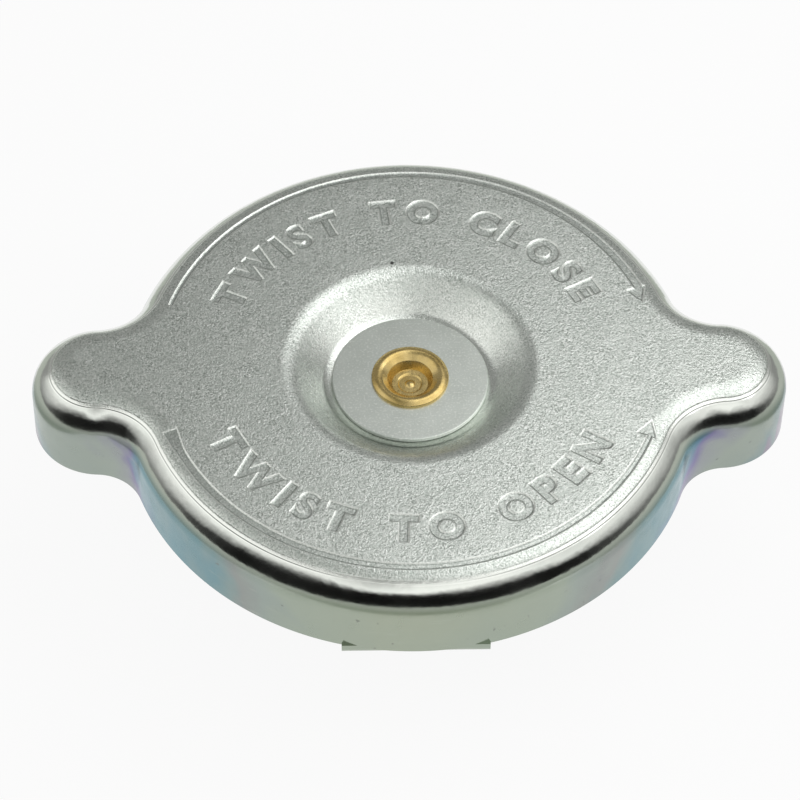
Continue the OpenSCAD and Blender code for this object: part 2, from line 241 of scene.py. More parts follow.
def new_mesh(name, points, faces, material):
    mesh = bpy.data.meshes.new(name)
    mesh.from_pydata(points, [], faces)
    mesh.materials.append(material)
    return mesh


def point_layer(mesh, label, values):
    layer = mesh.attributes.new(label, "FLOAT", "POINT")
    layer.data.foreach_set("value", [float(v) for v in values])


def read_off(table, value):
    """Second column of a table at a value of its first."""
    return np.interp(value, *zip(*table))


class Builder:
    """Collects points in millimetres, faces, and a finish for each point."""

    def __init__(self):
        self.points = []
        self.faces = []
        self.zones = []

    def ring(self, points, zone=(0, 0, 0)):
        first = len(self.points)
        self.points.extend(tuple(p) for p in points)
        self.zones.extend([zone] * len(points))
        return list(range(first, first + len(points)))

    def plan(self, loop):
        return np.array([self.points[i][:2] for i in loop])

    def face(self, corners):
        self.faces.append(tuple(corners))

    def bridge(self, below, above):
        count = len(below)
        for i in range(count):
            j = (i + 1) % count
            self.face((below[i], below[j], above[j], above[i]))

    def skin(self, rings, inward=False):
        """Faces from ring to ring."""
        for below, above in zip(rings, rings[1:]):
            self.bridge(*((above, below) if inward else (below, above)))

    def fill(self, loops, height, zone, extra=(), facing=1):
        """Triangles between rings, with extra points of the plan set at the height of the surface there."""
        index = [i for loop in loops for i in loop]
        plan = [Vector(self.points[i][:2]) for i in index] + [Vector(p) for p in extra]
        edges = []
        start = 0
        for loop in loops:
            edges += [(start + i, start + (i + 1) % len(loop)) for i in range(len(loop))]
            start += len(loop)
        spots, _, triangles, origins, _, _ = delaunay_2d_cdt(plan, edges, [], 0, NO_LENGTH, True)
        spot_xy = np.array(spots)
        centres = spot_xy[np.array(triangles)].mean(axis=1)
        inside = crossings(centres, [self.plan(loop) for loop in loops]) % 2 == 1
        levels = height(spot_xy)
        target = {}
        for spot, origin in enumerate(origins):
            known = [o for o in origin if o < len(index)]
            target[spot] = index[known[0]] if known else None
        for triangle, keep in zip(triangles, inside):
            if not keep:
                continue
            for spot in triangle:
                if target[spot] is None:
                    target[spot] = self.ring([(*spots[spot], levels[spot])], zone)[0]
            corners = [target[s] for s in triangle]
            if len(set(corners)) == 3:
                self.face(corners if facing > 0 else corners[::-1])

    def make(self, name, material, hard, zoned=False):
        points = np.array(self.points)
        mesh = new_mesh(name, (points * MM).tolist(), self.faces, material)
        if zoned:
            # The third share of each point is painted light
            for label, shares in zip(("field", "skirt", "painted_light"), zip(*self.zones)):
                point_layer(mesh, label, shares)
        mesh.polygons.foreach_set("use_smooth", [True] * len(self.faces))
        mesh.normals_split_custom_set(corner_normals(points, self.faces, hard).tolist())
        return added(name, mesh)


def corner_normals(points, faces, hard):
    """A normal for each corner of each face: large faces count for more, edges over the angle stay hard."""
    sizes = np.array([len(f) for f in faces])
    corners = np.fromiter(chain.from_iterable(faces), int)
    owner = np.repeat(np.arange(len(faces)), sizes)
    first = np.cumsum(sizes) - sizes
    a, b, c, d = (points[corners[first + step]] for step in (0, 1, 2, sizes - 1))
    area = np.cross(c - a, d - b)
    unit_area = area / np.maximum(np.linalg.norm(area, axis=1), NO_AREA)[:, None]
    order = np.argsort(corners, kind="stable")
    counts = np.bincount(corners, minlength=len(points))
    begin = np.cumsum(counts) - counts
    around = counts[corners]
    left = np.repeat(np.arange(len(corners)), around)
    step = np.arange(len(left)) - np.repeat(np.cumsum(around) - around, around)
    right = order[begin[corners[left]] + step]
    likeness = np.einsum("ij,ij->i", unit_area[owner[left]], unit_area[owner[right]])
    soft = likeness > math.cos(math.radians(hard))
    total = np.zeros((len(corners), 3))
    np.add.at(total, left[soft], area[owner[right[soft]]])
    return total / np.maximum(np.linalg.norm(total, axis=1), NO_AREA)[:, None]


def crossings(spots, outlines):
    """How many outlines lie round each spot, by the even-odd rule."""
    total = np.zeros(len(spots), int)
    for outline in outlines:
        near = np.all((spots >= outline.min(axis=0)) & (spots <= outline.max(axis=0)), axis=1)
        x, y = spots[near, 0][:, None], spots[near, 1][:, None]
        x0, y0 = outline[:, 0], outline[:, 1]
        x1, y1 = np.roll(x0, -1), np.roll(y0, -1)
        spans = (y0 > y) != (y1 > y)
        rise = np.where(y1 == y0, 1.0, y1 - y0)
        hits = spans & (x < (x1 - x0) * (y - y0) / rise + x0)
        total[near] += hits.sum(axis=1) % 2
    return total


def signed_area(loop):
    after = np.roll(loop, -1, axis=0)
    return 0.5 * float(np.sum(loop[:, 0] * after[:, 1] - loop[:, 1] * after[:, 0]))


def unit(way):
    return way / np.linalg.norm(way)


def left_of(way):
    return np.array((-way[1], way[0]))


def folded(path, radii, steps=10):
    """Points of a folded line with rounded corners, each with the direction to its left."""
    path = [np.array(p, float) for p in path]
    line = [(path[0], left_of(unit(path[1] - path[0])))]
    for before, at, after, radius in zip(path, path[1:], path[2:], radii):
        into, out = unit(at - before), unit(after - at)
        turn = math.atan2(into[0] * out[1] - into[1] * out[0], into @ out)
        side = math.copysign(1, turn)
        first = left_of(into)
        centre = at - into * radius * math.tan(abs(turn) / 2) + side * radius * first
        for i in range(steps + 1):
            angle = turn * i / steps
            across = np.array((
                first[0] * math.cos(angle) - first[1] * math.sin(angle),
                first[0] * math.sin(angle) + first[1] * math.cos(angle)))
            line.append((centre - side * radius * across, across))
    line.append((path[-1], left_of(unit(path[-1] - path[-2]))))
    return line


def beside(line, distance):
    return [p + n * distance for p, n in line]


def sheet_section(path, radii, thickness, steps=10):
    line = folded(path, radii, steps)
    return beside(line, 0) + beside(line, thickness)[::-1]


def rounded(corners, radius, steps=5):
    """A closed section with all its corners rounded alike."""
    start = (np.array(corners[0], float) + np.array(corners[-1], float)) / 2
    path = [start, *corners, start]
    return beside(folded(path, [radius] * len(corners), steps), 0)[:-1]


def circle(radius, z, count):
    turns = np.linspace(0, 2 * math.pi, count, endpoint=False)
    return np.column_stack((radius * np.cos(turns), radius * np.sin(turns), np.full(count, z)))


def lathe(name, profile, material, count=144):
    """A turned piece from its half section; points on the axis become single points."""
    if signed_area(np.array(profile)) < 0:
        profile = profile[::-1]
    build = Builder()
    rings = []
    for r, z in profile:
        rings.append(build.ring([(0, 0, z)]) if r < NO_LENGTH else build.ring(circle(r, z, count)))
    for a, b in zip(rings, rings[1:] + rings[:1]):
        if len(a) == 1 and len(b) == 1:
            continue
        if len(a) == 1:
            for i in range(count):
                build.face((a[0], b[(i + 1) % count], b[i]))
        elif len(b) == 1:
            for i in range(count):
                build.face((a[i], a[(i + 1) % count], b[0]))
        else:
            build.bridge(a, b)
    return build.make(name, material, TURNED_HARD)


def coil(name, radius, wire_r, low, high, turns, material, end_turn=0.5, steps=64, sides=16):
    """A wound wire between two heights, with its end turns lying flat."""
    build = Builder()
    centre_low, centre_high = low + wire_r, high - wire_r
    across = 2 * math.pi * np.arange(sides) / sides
    out = radius + wire_r * np.cos(across)
    free_turns = turns - 2 * end_turn
    rings = []
    for i in range(round(turns * steps) + 1):
        turn = i / steps
        rise = min(max(turn - end_turn, 0), free_turns) / free_turns
        rise = rise * rise * (3 - 2 * rise) * COIL_EASE + rise * (1 - COIL_EASE)
        angle = 2 * math.pi * turn
        z = centre_low + (centre_high - centre_low) * rise
        rings.append(build.ring(np.column_stack((
            out * math.cos(angle), out * math.sin(angle), z + wire_r * np.sin(across)))))
    build.skin(rings, inward=True)
    build.face(rings[0])
    build.face(rings[-1][::-1])
    return build.make(name, material, WIRE_HARD)


# Materials

class Shader:
    """One node material, with short calls for the nodes that repeat."""

    def __init__(self, name, metallic=0.0):
        self.material = bpy.data.materials.new(name)
        self.material.use_nodes = True
        self.tree = self.material.node_tree
        self.out = self.tree.nodes["Principled BSDF"]
        self.out.inputs["Metallic"].default_value = metallic
        self.place = self.node("ShaderNodeTexCoord").outputs["Object"]

    def node(self, kind, **settings):
        made = self.tree.nodes.new(kind)
        for key, value in settings.items():
            setattr(made, key, value)
        return made

    def put(self, source, socket):
        if hasattr(source, "links"):
            self.tree.links.new(source, socket)
        else:
            socket.default_value = source

    def stretched(self, scale):
        mapping = self.node("ShaderNodeMapping")
        self.put(self.place, mapping.inputs["Vector"])
        mapping.inputs["Scale"].default_value = scale
        return mapping.outputs["Vector"]

    def noise(self, scale, detail=3.0, roughness=0.55, where=None, distortion=0.0):
        made = self.node("ShaderNodeTexNoise")
        self.put(where or self.place, made.inputs["Vector"])
        made.inputs["Scale"].default_value = scale
        made.inputs["Detail"].default_value = detail
        made.inputs["Roughness"].default_value = roughness
        made.inputs["Distortion"].default_value = distortion
        return made.outputs["Fac"]

    def ramp(self, source, low, high, start=0.0, end=1.0):
        made = self.node("ShaderNodeMapRange")
        self.put(source, made.inputs["Value"])
        made.inputs["From Min"].default_value = low
        made.inputs["From Max"].default_value = high
        made.inputs["To Min"].default_value = start
        made.inputs["To Max"].default_value = end
        return made.outputs["Result"]

    def stops(self, source, stops):
        """Colours along a value."""
        made = self.node("ShaderNodeValToRGB")
        self.put(source, made.inputs["Fac"])
        ramp = made.color_ramp
        while len(ramp.elements) < len(stops):
            ramp.elements.new(0.5)
        for element, (at, colour) in zip(ramp.elements, stops):
            element.position = at
            element.color = colour4(colour)
        return made.outputs["Color"]

    def math(self, operation, a, b=0.0):
        made = self.node("ShaderNodeMath", operation=operation)
        self.put(a, made.inputs[0])
        self.put(b, made.inputs[1])
        return made.outputs["Value"]

    def blended(self, data_type, kind, share, a, b):
        """Mix of two colours or two numbers."""
        made = self.node("ShaderNodeMix", data_type=data_type)
        self.put(share, made.inputs["Factor"])
        ends = [s for s in made.inputs if s.type == kind and s.name != "Factor"]
        self.put(a, ends[0])
        self.put(b, ends[1])
        return [s for s in made.outputs if s.type == kind][0]

    def mix(self, share, a, b):
        return self.blended("RGBA", "RGBA", share, colour4(a), colour4(b))

    def blend_value(self, share, a, b):
        return self.blended("FLOAT", "VALUE", share, a, b)

    def attribute(self, label):
        return self.node("ShaderNodeAttribute", attribute_name=label).outputs["Fac"]

    def bump(self, height, strength, distance, under=None):
        made = self.node("ShaderNodeBump")
        self.put(height, made.inputs["Height"])
        self.put(strength, made.inputs["Strength"])
        made.inputs["Distance"].default_value = distance
        if under is not None:
            self.put(under, made.inputs["Normal"])
        return made.outputs["Normal"]

    def surface(self, shader):
        self.put(shader, self.tree.nodes["Material Output"].inputs["Surface"])
        return self.material

    def finish(self, colour, roughness, normal=None):
        self.put(colour4(colour), self.out.inputs["Base Color"])
        self.put(roughness, self.out.inputs["Roughness"])
        if normal is not None:
            self.put(normal, self.out.inputs["Normal"])
        return self.material


def colour4(value):
    if hasattr(value, "links"):
        return value
    return (*value, 1.0) if len(value) == 3 else value


# Colours of the zinc, and of its clear film by distance from the middle of the skirt, 1 at FILM_END metres
FIELD_TONES = ((0.57, 0.62, 0.575), (0.66, 0.705, 0.66))
RIM_TONES = ((0.71, 0.74, 0.70), (0.77, 0.79, 0.75))
GRAIN_TONE = (0.75, 0.78, 0.74)
BRIGHT_GRAIN = (0.97, 0.99, 0.96)
DULL_GRAIN = (0.32, 0.35, 0.32)
SPECK_TONE = (0.03, 0.03, 0.03)
STAIN_TONE = (0.38, 0.42, 0.34)
STREAK_TONE = (0.50, 0.52, 0.46)
PIT_TONE = (0.17, 0.18, 0.16)
# Painted highlight and painted shade, laid on by each point's share of painted light
PAINTED_HIGHLIGHT_TONE = (0.90, 0.92, 0.88)
SHADED_TONE = (0.26, 0.29, 0.27)
FILM_END = 0.042
FILM_MIDDLE_Z = 0.02
FILM_LEAN = -0.45
FILM_DRIFT = 0.0035
FILM = (
    (0.00, (0.37, 0.41, 0.325)), (0.30, (0.345, 0.395, 0.33)), (0.38, (0.31, 0.36, 0.33)),
    (0.45, (0.28, 0.30, 0.29)), (0.51, (0.225, 0.31, 0.31)), (0.57, (0.165, 0.29, 0.32)),
    (0.62, (0.125, 0.275, 0.32)), (0.665, (0.11, 0.225, 0.33)), (0.695, (0.20, 0.18, 0.34)),
    (0.73, (0.31, 0.33, 0.35)), (0.80, (0.34, 0.385, 0.345)), (0.88, (0.32, 0.37, 0.335)),
    (0.93, (0.24, 0.32, 0.33)), (0.96, (0.30, 0.26, 0.34)))


def field_tone(s, patches, grain, fine):
    """Colour of the coined field: patches, fine bright and dull grains, and one dark speck."""
    grainy = s.ramp(s.noise(380, 3.0), 0.36, 0.62, 0.45, 1.0)
    colour = s.mix(s.ramp(patches, 0.3, 0.7), *FIELD_TONES)
    colour = s.mix(s.ramp(grain, 0.38, 0.68), colour, GRAIN_TONE)
    bright = s.math("MULTIPLY", s.ramp(fine, 0.53, 0.64, 0.0, 0.9), grainy)
    colour = s.mix(bright, colour, BRIGHT_GRAIN)
    dull = s.math("MULTIPLY", s.ramp(fine, 0.47, 0.37, 0.0, 0.85), grainy)
    colour = s.mix(dull, colour, DULL_GRAIN)
    apart = s.node("ShaderNodeVectorMath", operation="DISTANCE")
    s.put(s.place, apart.inputs[0])
    apart.inputs[1].default_value = (FIELD_MARK[0] * MM, FIELD_MARK[1] * MM, TOP * MM)
    mark = s.ramp(apart.outputs["Value"], FIELD_MARK_R * MM, FIELD_MARK_R * MM / 2, 0.0, 0.9)
    return s.mix(mark, colour, SPECK_TONE)


def skirt_tone(s):
    """Colour of the skirt: film from the ears' necks to the front and back, with stains and pits."""
    axes = s.node("ShaderNodeSeparateXYZ")
    s.put(s.place, axes.inputs["Vector"])
    across = s.math("ABSOLUTE", axes.outputs["X"])
    cloudy = s.noise(90, 3.0, 0.5, s.stretched((1.0, 1.0, 0.6)), 0.5)
    drift = s.ramp(cloudy, 0.3, 0.7, -FILM_DRIFT, FILM_DRIFT)
    slope = s.math("MULTIPLY", s.math("SUBTRACT", axes.outputs["Z"], FILM_MIDDLE_Z), FILM_LEAN)
    along = s.math("ADD", s.math("ADD", across, drift), slope)
    colour = s.stops(s.ramp(along, 0.0, FILM_END), FILM)
    stain = s.ramp(s.noise(150, 4.0, 0.6), 0.35, 0.7)
    colour = s.mix(s.math("MULTIPLY", stain, 0.18), colour, STAIN_TONE)
    streaks = s.noise(420, 4.0, 0.65, s.stretched((0.35, 0.35, 3.0)))
    colour = s.mix(s.ramp(streaks, 0.62, 0.78, 0.0, 0.35), colour, STREAK_TONE)
    pits = s.noise(900, 2.0, 0.6)
    return s.mix(s.ramp(pits, 0.70, 0.76, 0.0, 0.6), colour, PIT_TONE)


def shell_zinc():
    """Zinc plate with a thin clear film: grainy on the field, bright on the rim, tinted on the skirt, with
    painted highlights and painted shade on the stamps and the coined edge.
    """
    s = Shader("zinc_shell", metallic=1.0)
    field, skirt, painted_light = s.attribute("field"), s.attribute("skirt"), s.attribute("painted_light")
    patches = s.noise(260, 4.0)
    grain = s.noise(3000, 3.0, 0.6)
    fine = s.noise(5600, 2.0, 0.6)

    rim_colour = s.mix(s.ramp(patches, 0.35, 0.65), *RIM_TONES)
    colour = s.mix(field, rim_colour, field_tone(s, patches, grain, fine))
    colour = s.mix(skirt, colour, skirt_tone(s))
    # Painted highlight where the painted-light share is over 0, painted shade where it is under
    colour = s.mix(s.ramp(painted_light, 0.0, 1.0), colour, PAINTED_HIGHLIGHT_TONE)
    colour = s.mix(s.ramp(painted_light, 0.0, -1.0), colour, SHADED_TONE)

    field_rough = s.ramp(grain, 0.3, 0.7, 0.38, 0.28)
    rim_rough = s.ramp(patches, 0.3, 0.7, 0.10, 0.18)
    skirt_rough = s.ramp(s.noise(500, 3.0), 0.3, 0.7, 0.16, 0.28)
    rough = s.blend_value(skirt, s.blend_value(field, rim_rough, field_rough), skirt_rough)

    height = s.math("ADD", s.math("MULTIPLY", grain, 0.7), s.math("MULTIPLY", fine, 0.8))
    waves = s.bump(s.noise(650, 2.0, 0.5), s.ramp(skirt, 0.0, 1.0, 0.3, 0.07), 0.0001)
    coarse = s.bump(height, s.math("MULTIPLY", field, 0.6), 0.00008, waves)
    drawn = s.noise(900, 2.0, 0.5, s.stretched((0.3, 0.3, 1.6)))
    normal = s.bump(drawn, s.math("MULTIPLY", skirt, 0.08), 0.00003, coarse)
    return s.finish(colour, rough, normal)


def plain_zinc(name, dark, light, rough):
    s = Shader(name, metallic=1.0)
    patches = s.noise(330, 4.0)
    fine = s.noise(4200, 3.0)
    colour = s.mix(s.ramp(patches, 0.32, 0.68), dark, light)
    colour = s.mix(s.ramp(fine, 0.52, 0.68, 0.0, 0.6), colour, (0.92, 0.94, 0.90))
    roughness = s.ramp(fine, 0.3, 0.7, rough - 0.06, rough + 0.06)
    return s.finish(colour, roughness, s.bump(fine, 0.22, 0.00003))


def spring_wire():
    s = Shader("spring_steel", metallic=1.0)
    patches = s.noise(420, 4.0)
    lines = s.noise(1500, 3.0, 0.6, s.stretched((1.0, 1.0, 6.0)))
    colour = s.mix(s.ramp(patches, 0.3, 0.7), (0.40, 0.40, 0.39), (0.56, 0.56, 0.54))
    return s.finish(colour, s.ramp(lines, 0.3, 0.7, 0.22, 0.36), s.bump(lines, 0.12, 0.00002))


def brass():
    s = Shader("brass", metallic=1.0)
    patches = s.noise(520, 4.0)
    turned = s.noise(2400, 3.0, 0.6)
    colour = s.mix(s.ramp(patches, 0.3, 0.7), (0.52, 0.38, 0.14), (0.70, 0.54, 0.24))
    return s.finish(colour, s.ramp(turned, 0.3, 0.7, 0.2, 0.34), s.bump(turned, 0.2, 0.00003))


def seal_rubber():
    s = Shader("seal_rubber")
    fine = s.noise(2600, 4.0)
    bloom = s.noise(180, 4.0)
    colour = s.mix(s.ramp(bloom, 0.35, 0.75), (0.012, 0.012, 0.013), (0.045, 0.045, 0.045))
    s.out.inputs["Specular IOR Level"].default_value = 0.35
    return s.finish(colour, s.ramp(fine, 0.3, 0.7, 0.5, 0.66), s.bump(fine, 0.18, 0.00004))


ZINC_SHELL = shell_zinc()
ZINC_WASHER = plain_zinc("zinc_washer", (0.61, 0.65, 0.605), (0.68, 0.72, 0.675), 0.36)
ZINC_INNER = plain_zinc("zinc_inner", (0.55, 0.58, 0.54), (0.68, 0.70, 0.65), 0.28)
SPRING_STEEL = spring_wire()
BRASS = brass()
RUBBER = seal_rubber()


# Plan outline of the shell

def plan_outline():
    """Points of the outline with their inward directions."""
    ear_x = EAR_TIP - EAR_R
    far, near = BODY_R + BLEND_R, EAR_R + BLEND_R
    touch = math.acos((far ** 2 + ear_x ** 2 - near ** 2) / (2 * far * ear_x))
    hollow = np.array((far * math.cos(touch), far * math.sin(touch)))
    ear_end = math.atan2(hollow[1], hollow[0] - ear_x)
    half_turn = math.pi
    stretches = (
        ((ear_x, 0), EAR_R, np.linspace(0, ear_end, EAR_POINTS, endpoint=False), -1),
        (hollow, BLEND_R,
         np.linspace(ear_end + half_turn, touch + half_turn, BLEND_POINTS, endpoint=False), 1),
        ((0, 0), BODY_R, np.linspace(touch, half_turn - touch, BODY_POINTS, endpoint=False), -1),
        ((-hollow[0], hollow[1]), BLEND_R, np.linspace(-touch, -ear_end, BLEND_POINTS, endpoint=False), 1),
        ((-ear_x, 0), EAR_R, np.linspace(half_turn - ear_end, half_turn, EAR_POINTS + 1), -1))
    points, inward = [], []
    for centre, radius, turns, side in stretches:
        rays = np.column_stack((np.cos(turns), np.sin(turns)))
        points.append(np.array(centre) + radius * rays)
        inward.append(side * rays)
    points, inward = np.concatenate(points), np.concatenate(inward)
    flip = np.array((1, -1))
    points = np.concatenate((points, (points * flip)[-2:0:-1]))
    inward = np.concatenate((inward, (inward * flip)[-2:0:-1]))
    return points, inward


PLAN, INWARD = plan_outline()
CREASE_SHARE = np.clip(LEAST_CREASE + np.abs(PLAN[:, 0]) / CREASE_REACH, 0, 1)


def top_height(spots):
    """Height of the field, which bends down where it runs out into the rim."""
    reach = np.concatenate([
        np.min(np.linalg.norm(part[:, None] - PLAN[None], axis=2), axis=1)
        for part in np.array_split(spots, max(1, len(spots) // SPOTS_AT_ONCE))])
    short = np.clip(RIM_R - reach, 0, RIM_R)
    return RIM_FOOT_Z + np.sqrt(RIM_R ** 2 - short ** 2)


# Lettering and arrows, as loops with the sunk side on the left

def glyph(letter, height, weight):
    """Loops of one thickened letter, standing on the origin and centred on it, and its width."""
    curve = bpy.data.curves.new("letter", "FONT")
    curve.body = letter
    curve.dimensions = "2D"
    curve.fill_mode = "NONE"
    curve.resolution_u = LETTER_STEPS
    curve.size = height / CAPITAL_SHARE
    text = added("letter", curve)
    shape = text.evaluated_get(bpy.context.evaluated_depsgraph_get()).to_mesh()
    spots = np.array([v.co[:2] for v in shape.vertices])
    follow = {}
    for edge in shape.edges:
        a, b = edge.vertices
        follow.setdefault(a, []).append(b)
        follow.setdefault(b, []).append(a)
    bpy.data.objects.remove(text)
    bpy.data.curves.remove(curve)
    loops = []
    left_over = set(follow)
    while left_over:
        start = min(left_over)
        loop = [start]
        left_over.discard(start)
        while True:
            ahead = [n for n in follow[loop[-1]] if n in left_over]
            if not ahead:
                break
            loop.append(ahead[0])
            left_over.discard(ahead[0])
        loops.append(thinned(spots[loop]))
    low, high = spots.min(axis=0), spots.max(axis=0)
    middle = np.array(((low[0] + high[0]) / 2, -weight))
    loops = [spaced(untangled(inset(loop, -weight))) - middle for loop in sunk_left(loops)]
    return loops, high[0] - low[0] + 2 * weight


def thinned(loop, least=0.03):
    """The loop without points that all but coincide."""
    kept = [loop[0]]
    for spot in loop[1:]:
        if np.linalg.norm(spot - kept[-1]) > least:
            kept.append(spot)
    if np.linalg.norm(kept[-1] - kept[0]) < least:
        kept.pop()
    return np.array(kept)


def untangled(loop):
    """The loop without the small knots that thickening leaves in tight curves."""
    count = len(loop)
    for i in range(count):
        for j in range(i + 2, count if i else count - 1):
            spot = intersect_line_line_2d(loop[i], loop[i + 1], loop[j], loop[(j + 1) % count])
            if spot is not None:
                round_it = np.vstack((loop[:i + 1], spot, loop[j + 1:]))
                knot = np.vstack((spot, loop[i + 1:j + 1]))
                return untangled(max((round_it, knot), key=lambda part: abs(signed_area(part))))
    return loop


def spaced(loop, least=0.22, corner=25):
    """The loop with its sharp corners kept and its other points some way apart."""
    ahead = np.roll(loop, -1, axis=0) - loop
    heading = np.degrees(np.arctan2(ahead[:, 1], ahead[:, 0]))
    bend = np.abs((heading - np.roll(heading, 1) + 180) % 360 - 180)
    corners = loop[bend > corner]
    kept = []
    for spot, sharp in zip(loop, bend > corner):
        near = list(corners) + kept[-1:] + kept[:1]
        if sharp or all(np.linalg.norm(spot - other) > least for other in near):
            kept.append(spot)
    return np.array(kept)


def sunk_left(loops):
    """Loops turned so that the sunk side is on the left: outer ones anticlockwise, inner ones clockwise."""
    turned = []
    for i, loop in enumerate(loops):
        others = [o for j, o in enumerate(loops) if j != i]
        inner = crossings(loop[:1], others)[0] % 2 == 1
        wanted = -1 if inner else 1
        turned.append(loop if signed_area(loop) * wanted > 0 else loop[::-1])
    return turned


def inset(loop, distance):
    """The loop moved to its left, with the corners kept."""
    ahead = np.roll(loop, -1, axis=0) - loop
    ahead /= np.linalg.norm(ahead, axis=1)[:, None]
    before = np.roll(ahead, 1, axis=0)
    across = np.column_stack((-ahead[:, 1] - before[:, 1], ahead[:, 0] + before[:, 0]))
    across /= np.linalg.norm(across, axis=1)[:, None]
    lean = np.einsum("ij,ij->i", across, np.column_stack((-ahead[:, 1], ahead[:, 0])))
    return loop + across * (distance / np.maximum(lean, LEAST_LEAN))[:, None]


def words_on_arc(words, height, foot_r, middle, span, gap, outward):
    """Letters spread over an arc round the cap's axis, standing away from it or towards it."""
    loops = []
    way = 1 if outward else -1
    middle_r = foot_r + way * height / 2
    weights = [LIGHTER.get(c, LETTER_WEIGHT) for c in words]
    drawn = [None if c == " " else glyph(c, height - 2 * w, w) for c, w in zip(words, weights)]
    total = math.radians(span) * middle_r
    used = sum(gap if d is None else d[1] for d in drawn)
    pitch = (total - used) / (len(words) - 1)
    along = -total / 2
    for letter in drawn:
        width = gap if letter is None else letter[1]
        offset = along + width / 2
        along += width + pitch
        if letter is None:
            continue
        angle = math.radians(middle) - way * offset / middle_r
        ray = np.array((math.cos(angle), math.sin(angle)))
        up = way * ray
        right = np.array((up[1], -up[0]))
        loops += [foot_r * ray + loop[:, :1] * right + loop[:, 1:] * up for loop in letter[0]]
    return loops


def arrow_on_arc(start, end, tail_w, neck_w, flare=1.0):
    """A long thin arrow round the cap's axis, from one angle to another, with a flared tail and a head."""
    def at(radius, angles):
        return np.column_stack((radius * np.cos(angles), radius * np.sin(angles)))

    way = math.copysign(1, end - start)
    neck = end - way * math.degrees(ARROW_HEAD / ARROW_R)
    turns = np.radians(np.linspace(start, neck, ARROW_POINTS))
    half = np.linspace(tail_w, neck_w, ARROW_POINTS) / 2
    half *= np.interp(np.arange(ARROW_POINTS), (0, FLARE_POINTS), (flare, 1.0))
    barbs = np.radians([neck])
    loop = np.concatenate((
        at(ARROW_R + half, turns), at(ARROW_HEAD_R + ARROW_SPREAD, barbs),
        at(ARROW_TIP_R, np.radians([end])),
        at(ARROW_HEAD_R - ARROW_SPREAD, barbs), at(ARROW_R - half, turns)[::-1]))
    return sunk_left([loop])


# The shell

def outline_ring(build, depth, z, zone):
    """Ring of points along the shell's outline, a depth in from it."""
    spots = PLAN + INWARD * np.broadcast_to(depth, len(PLAN))[:, None]
    return build.ring(np.column_stack((spots, np.broadcast_to(z, len(PLAN)))), zone)


def rim_ring(build, turn):
    """Ring on the rim at an angle from its crest, with the coined edge of the field on it."""
    radius = RIM_R + read_off(CREASE, turn) * CREASE_SHARE
    depth = RIM_R - radius * math.sin(math.radians(turn))
    z = RIM_FOOT_Z + radius * math.cos(math.radians(turn))
    # The zone carries grain, tint and painted highlights along the crease
    zone = tuple(float(read_off(table, turn)) for table in (RIM_GRAIN, RIM_TINT, RIM_PAINTED_LIGHT))
    return outline_ring(build, depth, z, zone)


def add_outside(build):
    """Skirt and rim, from the lower edge up to the field."""
    rings = [
        outline_ring(build, SHEET - EDGE_ROUND, SKIRT_Z, SKIRT),
        outline_ring(build, EDGE_ROUND, SKIRT_Z, SKIRT)]
    for share in np.linspace(0, 1, SKIRT_ROWS):
        z = (SKIRT_Z + EDGE_ROUND) * (1 - share) + RIM_FOOT_Z * share
        rings.append(outline_ring(build, 0, z, SKIRT))
    rings += [rim_ring(build, turn) for turn in RIM_TURNS]
    build.skin(rings)
    return rings


def add_dish(build):
    """Dish from the field in to the bore, and its underside."""
    floor_z = TOP - DISH_DEPTH
    dish = folded(
        [(DISH_RIM_R + DISH_LEAD, TOP), (DISH_RIM_R, TOP), (DISH_FLOOR_R, floor_z), (BORE_R, floor_z)],
        [DISH_RIM_BEND, DISH_FLOOR_BEND], DISH_STEPS)[1:]
    over = []
    for r, z in beside(dish, 0):
        over.append(build.ring(circle(r, z, DISH_POINTS), (float(read_off(DISH_GRAIN, TOP - z)), 0, 0)))
    build.skin(over)
    under = [build.ring(circle(r, z, DISH_POINTS), INSIDE) for r, z in beside(dish, SHEET)]
    build.skin(under, inward=True)
    build.bridge(over[-1], under[-1])
    return over[0], under[0]


def add_stamps(build):
    """Walls of the stamped words and arrows: soft shoulders from the mouth down to the floor of each."""
    stamps = words_on_arc(**FAR_WORDS) + words_on_arc(**NEAR_WORDS)
    stamps += arrow_on_arc(**FAR_ARROW) + arrow_on_arc(**NEAR_ARROW)
    mouths, floors = [], []
    for loop in stamps:
        levels = []
        # Each shoulder carries painted light: a painted highlight at the lip, painted shade down towards
        # the floor
        for distance, depth, painted_light in SHOULDERS:
            moved = inset(loop, distance)
            levels.append(build.ring(np.column_stack((moved, top_height(moved) - depth)), (1, 0, painted_light)))
        build.skin(levels)
        mouths.append(levels[0])
        floors.append(levels[-1])
    return mouths, floors


def add_field(build, edge, dish_edge, mouths, floors):
    """The field between the rim and the dish, with rows of points near the rim, and the stamps' floors."""
    outlines = [build.plan(loop) for loop in mouths]
    mouth_spots = np.concatenate(outlines)
    between = []
    for turn in FIELD_TURNS:
        spots = PLAN + INWARD * RIM_R * (1 - math.sin(math.radians(turn)))
        apart = np.min(np.linalg.norm(spots[:, None] - mouth_spots[None], axis=2), axis=1)
        between += spots[(apart > STAMP_CLEAR) & (crossings(spots, outlines) == 0)].tolist()
    build.fill([edge, dish_edge] + mouths, top_height, FIELD, between)
    build.fill(floors, lambda spots: top_height(spots) - STAMP_DEPTH, FIELD)


def add_inside(build, lower_edge, dish_edge):
    """Inner faces of the skirt, the rim and the top."""
    rings = [
        lower_edge, outline_ring(build, SHEET, SKIRT_Z + EDGE_ROUND, SKIRT),
        outline_ring(build, SHEET, RIM_FOOT_Z, SKIRT)]
    bend = RIM_R - SHEET
    for turn in np.radians(INSIDE_TURNS):
        depth, z = RIM_R - bend * math.cos(turn), RIM_FOOT_Z + bend * math.sin(turn)
        rings.append(outline_ring(build, depth, z, INSIDE))
    build.skin(rings, inward=True)
    build.fill([rings[-1], dish_edge], lambda spots: np.full(len(spots), TOP - SHEET), INSIDE, facing=-1)


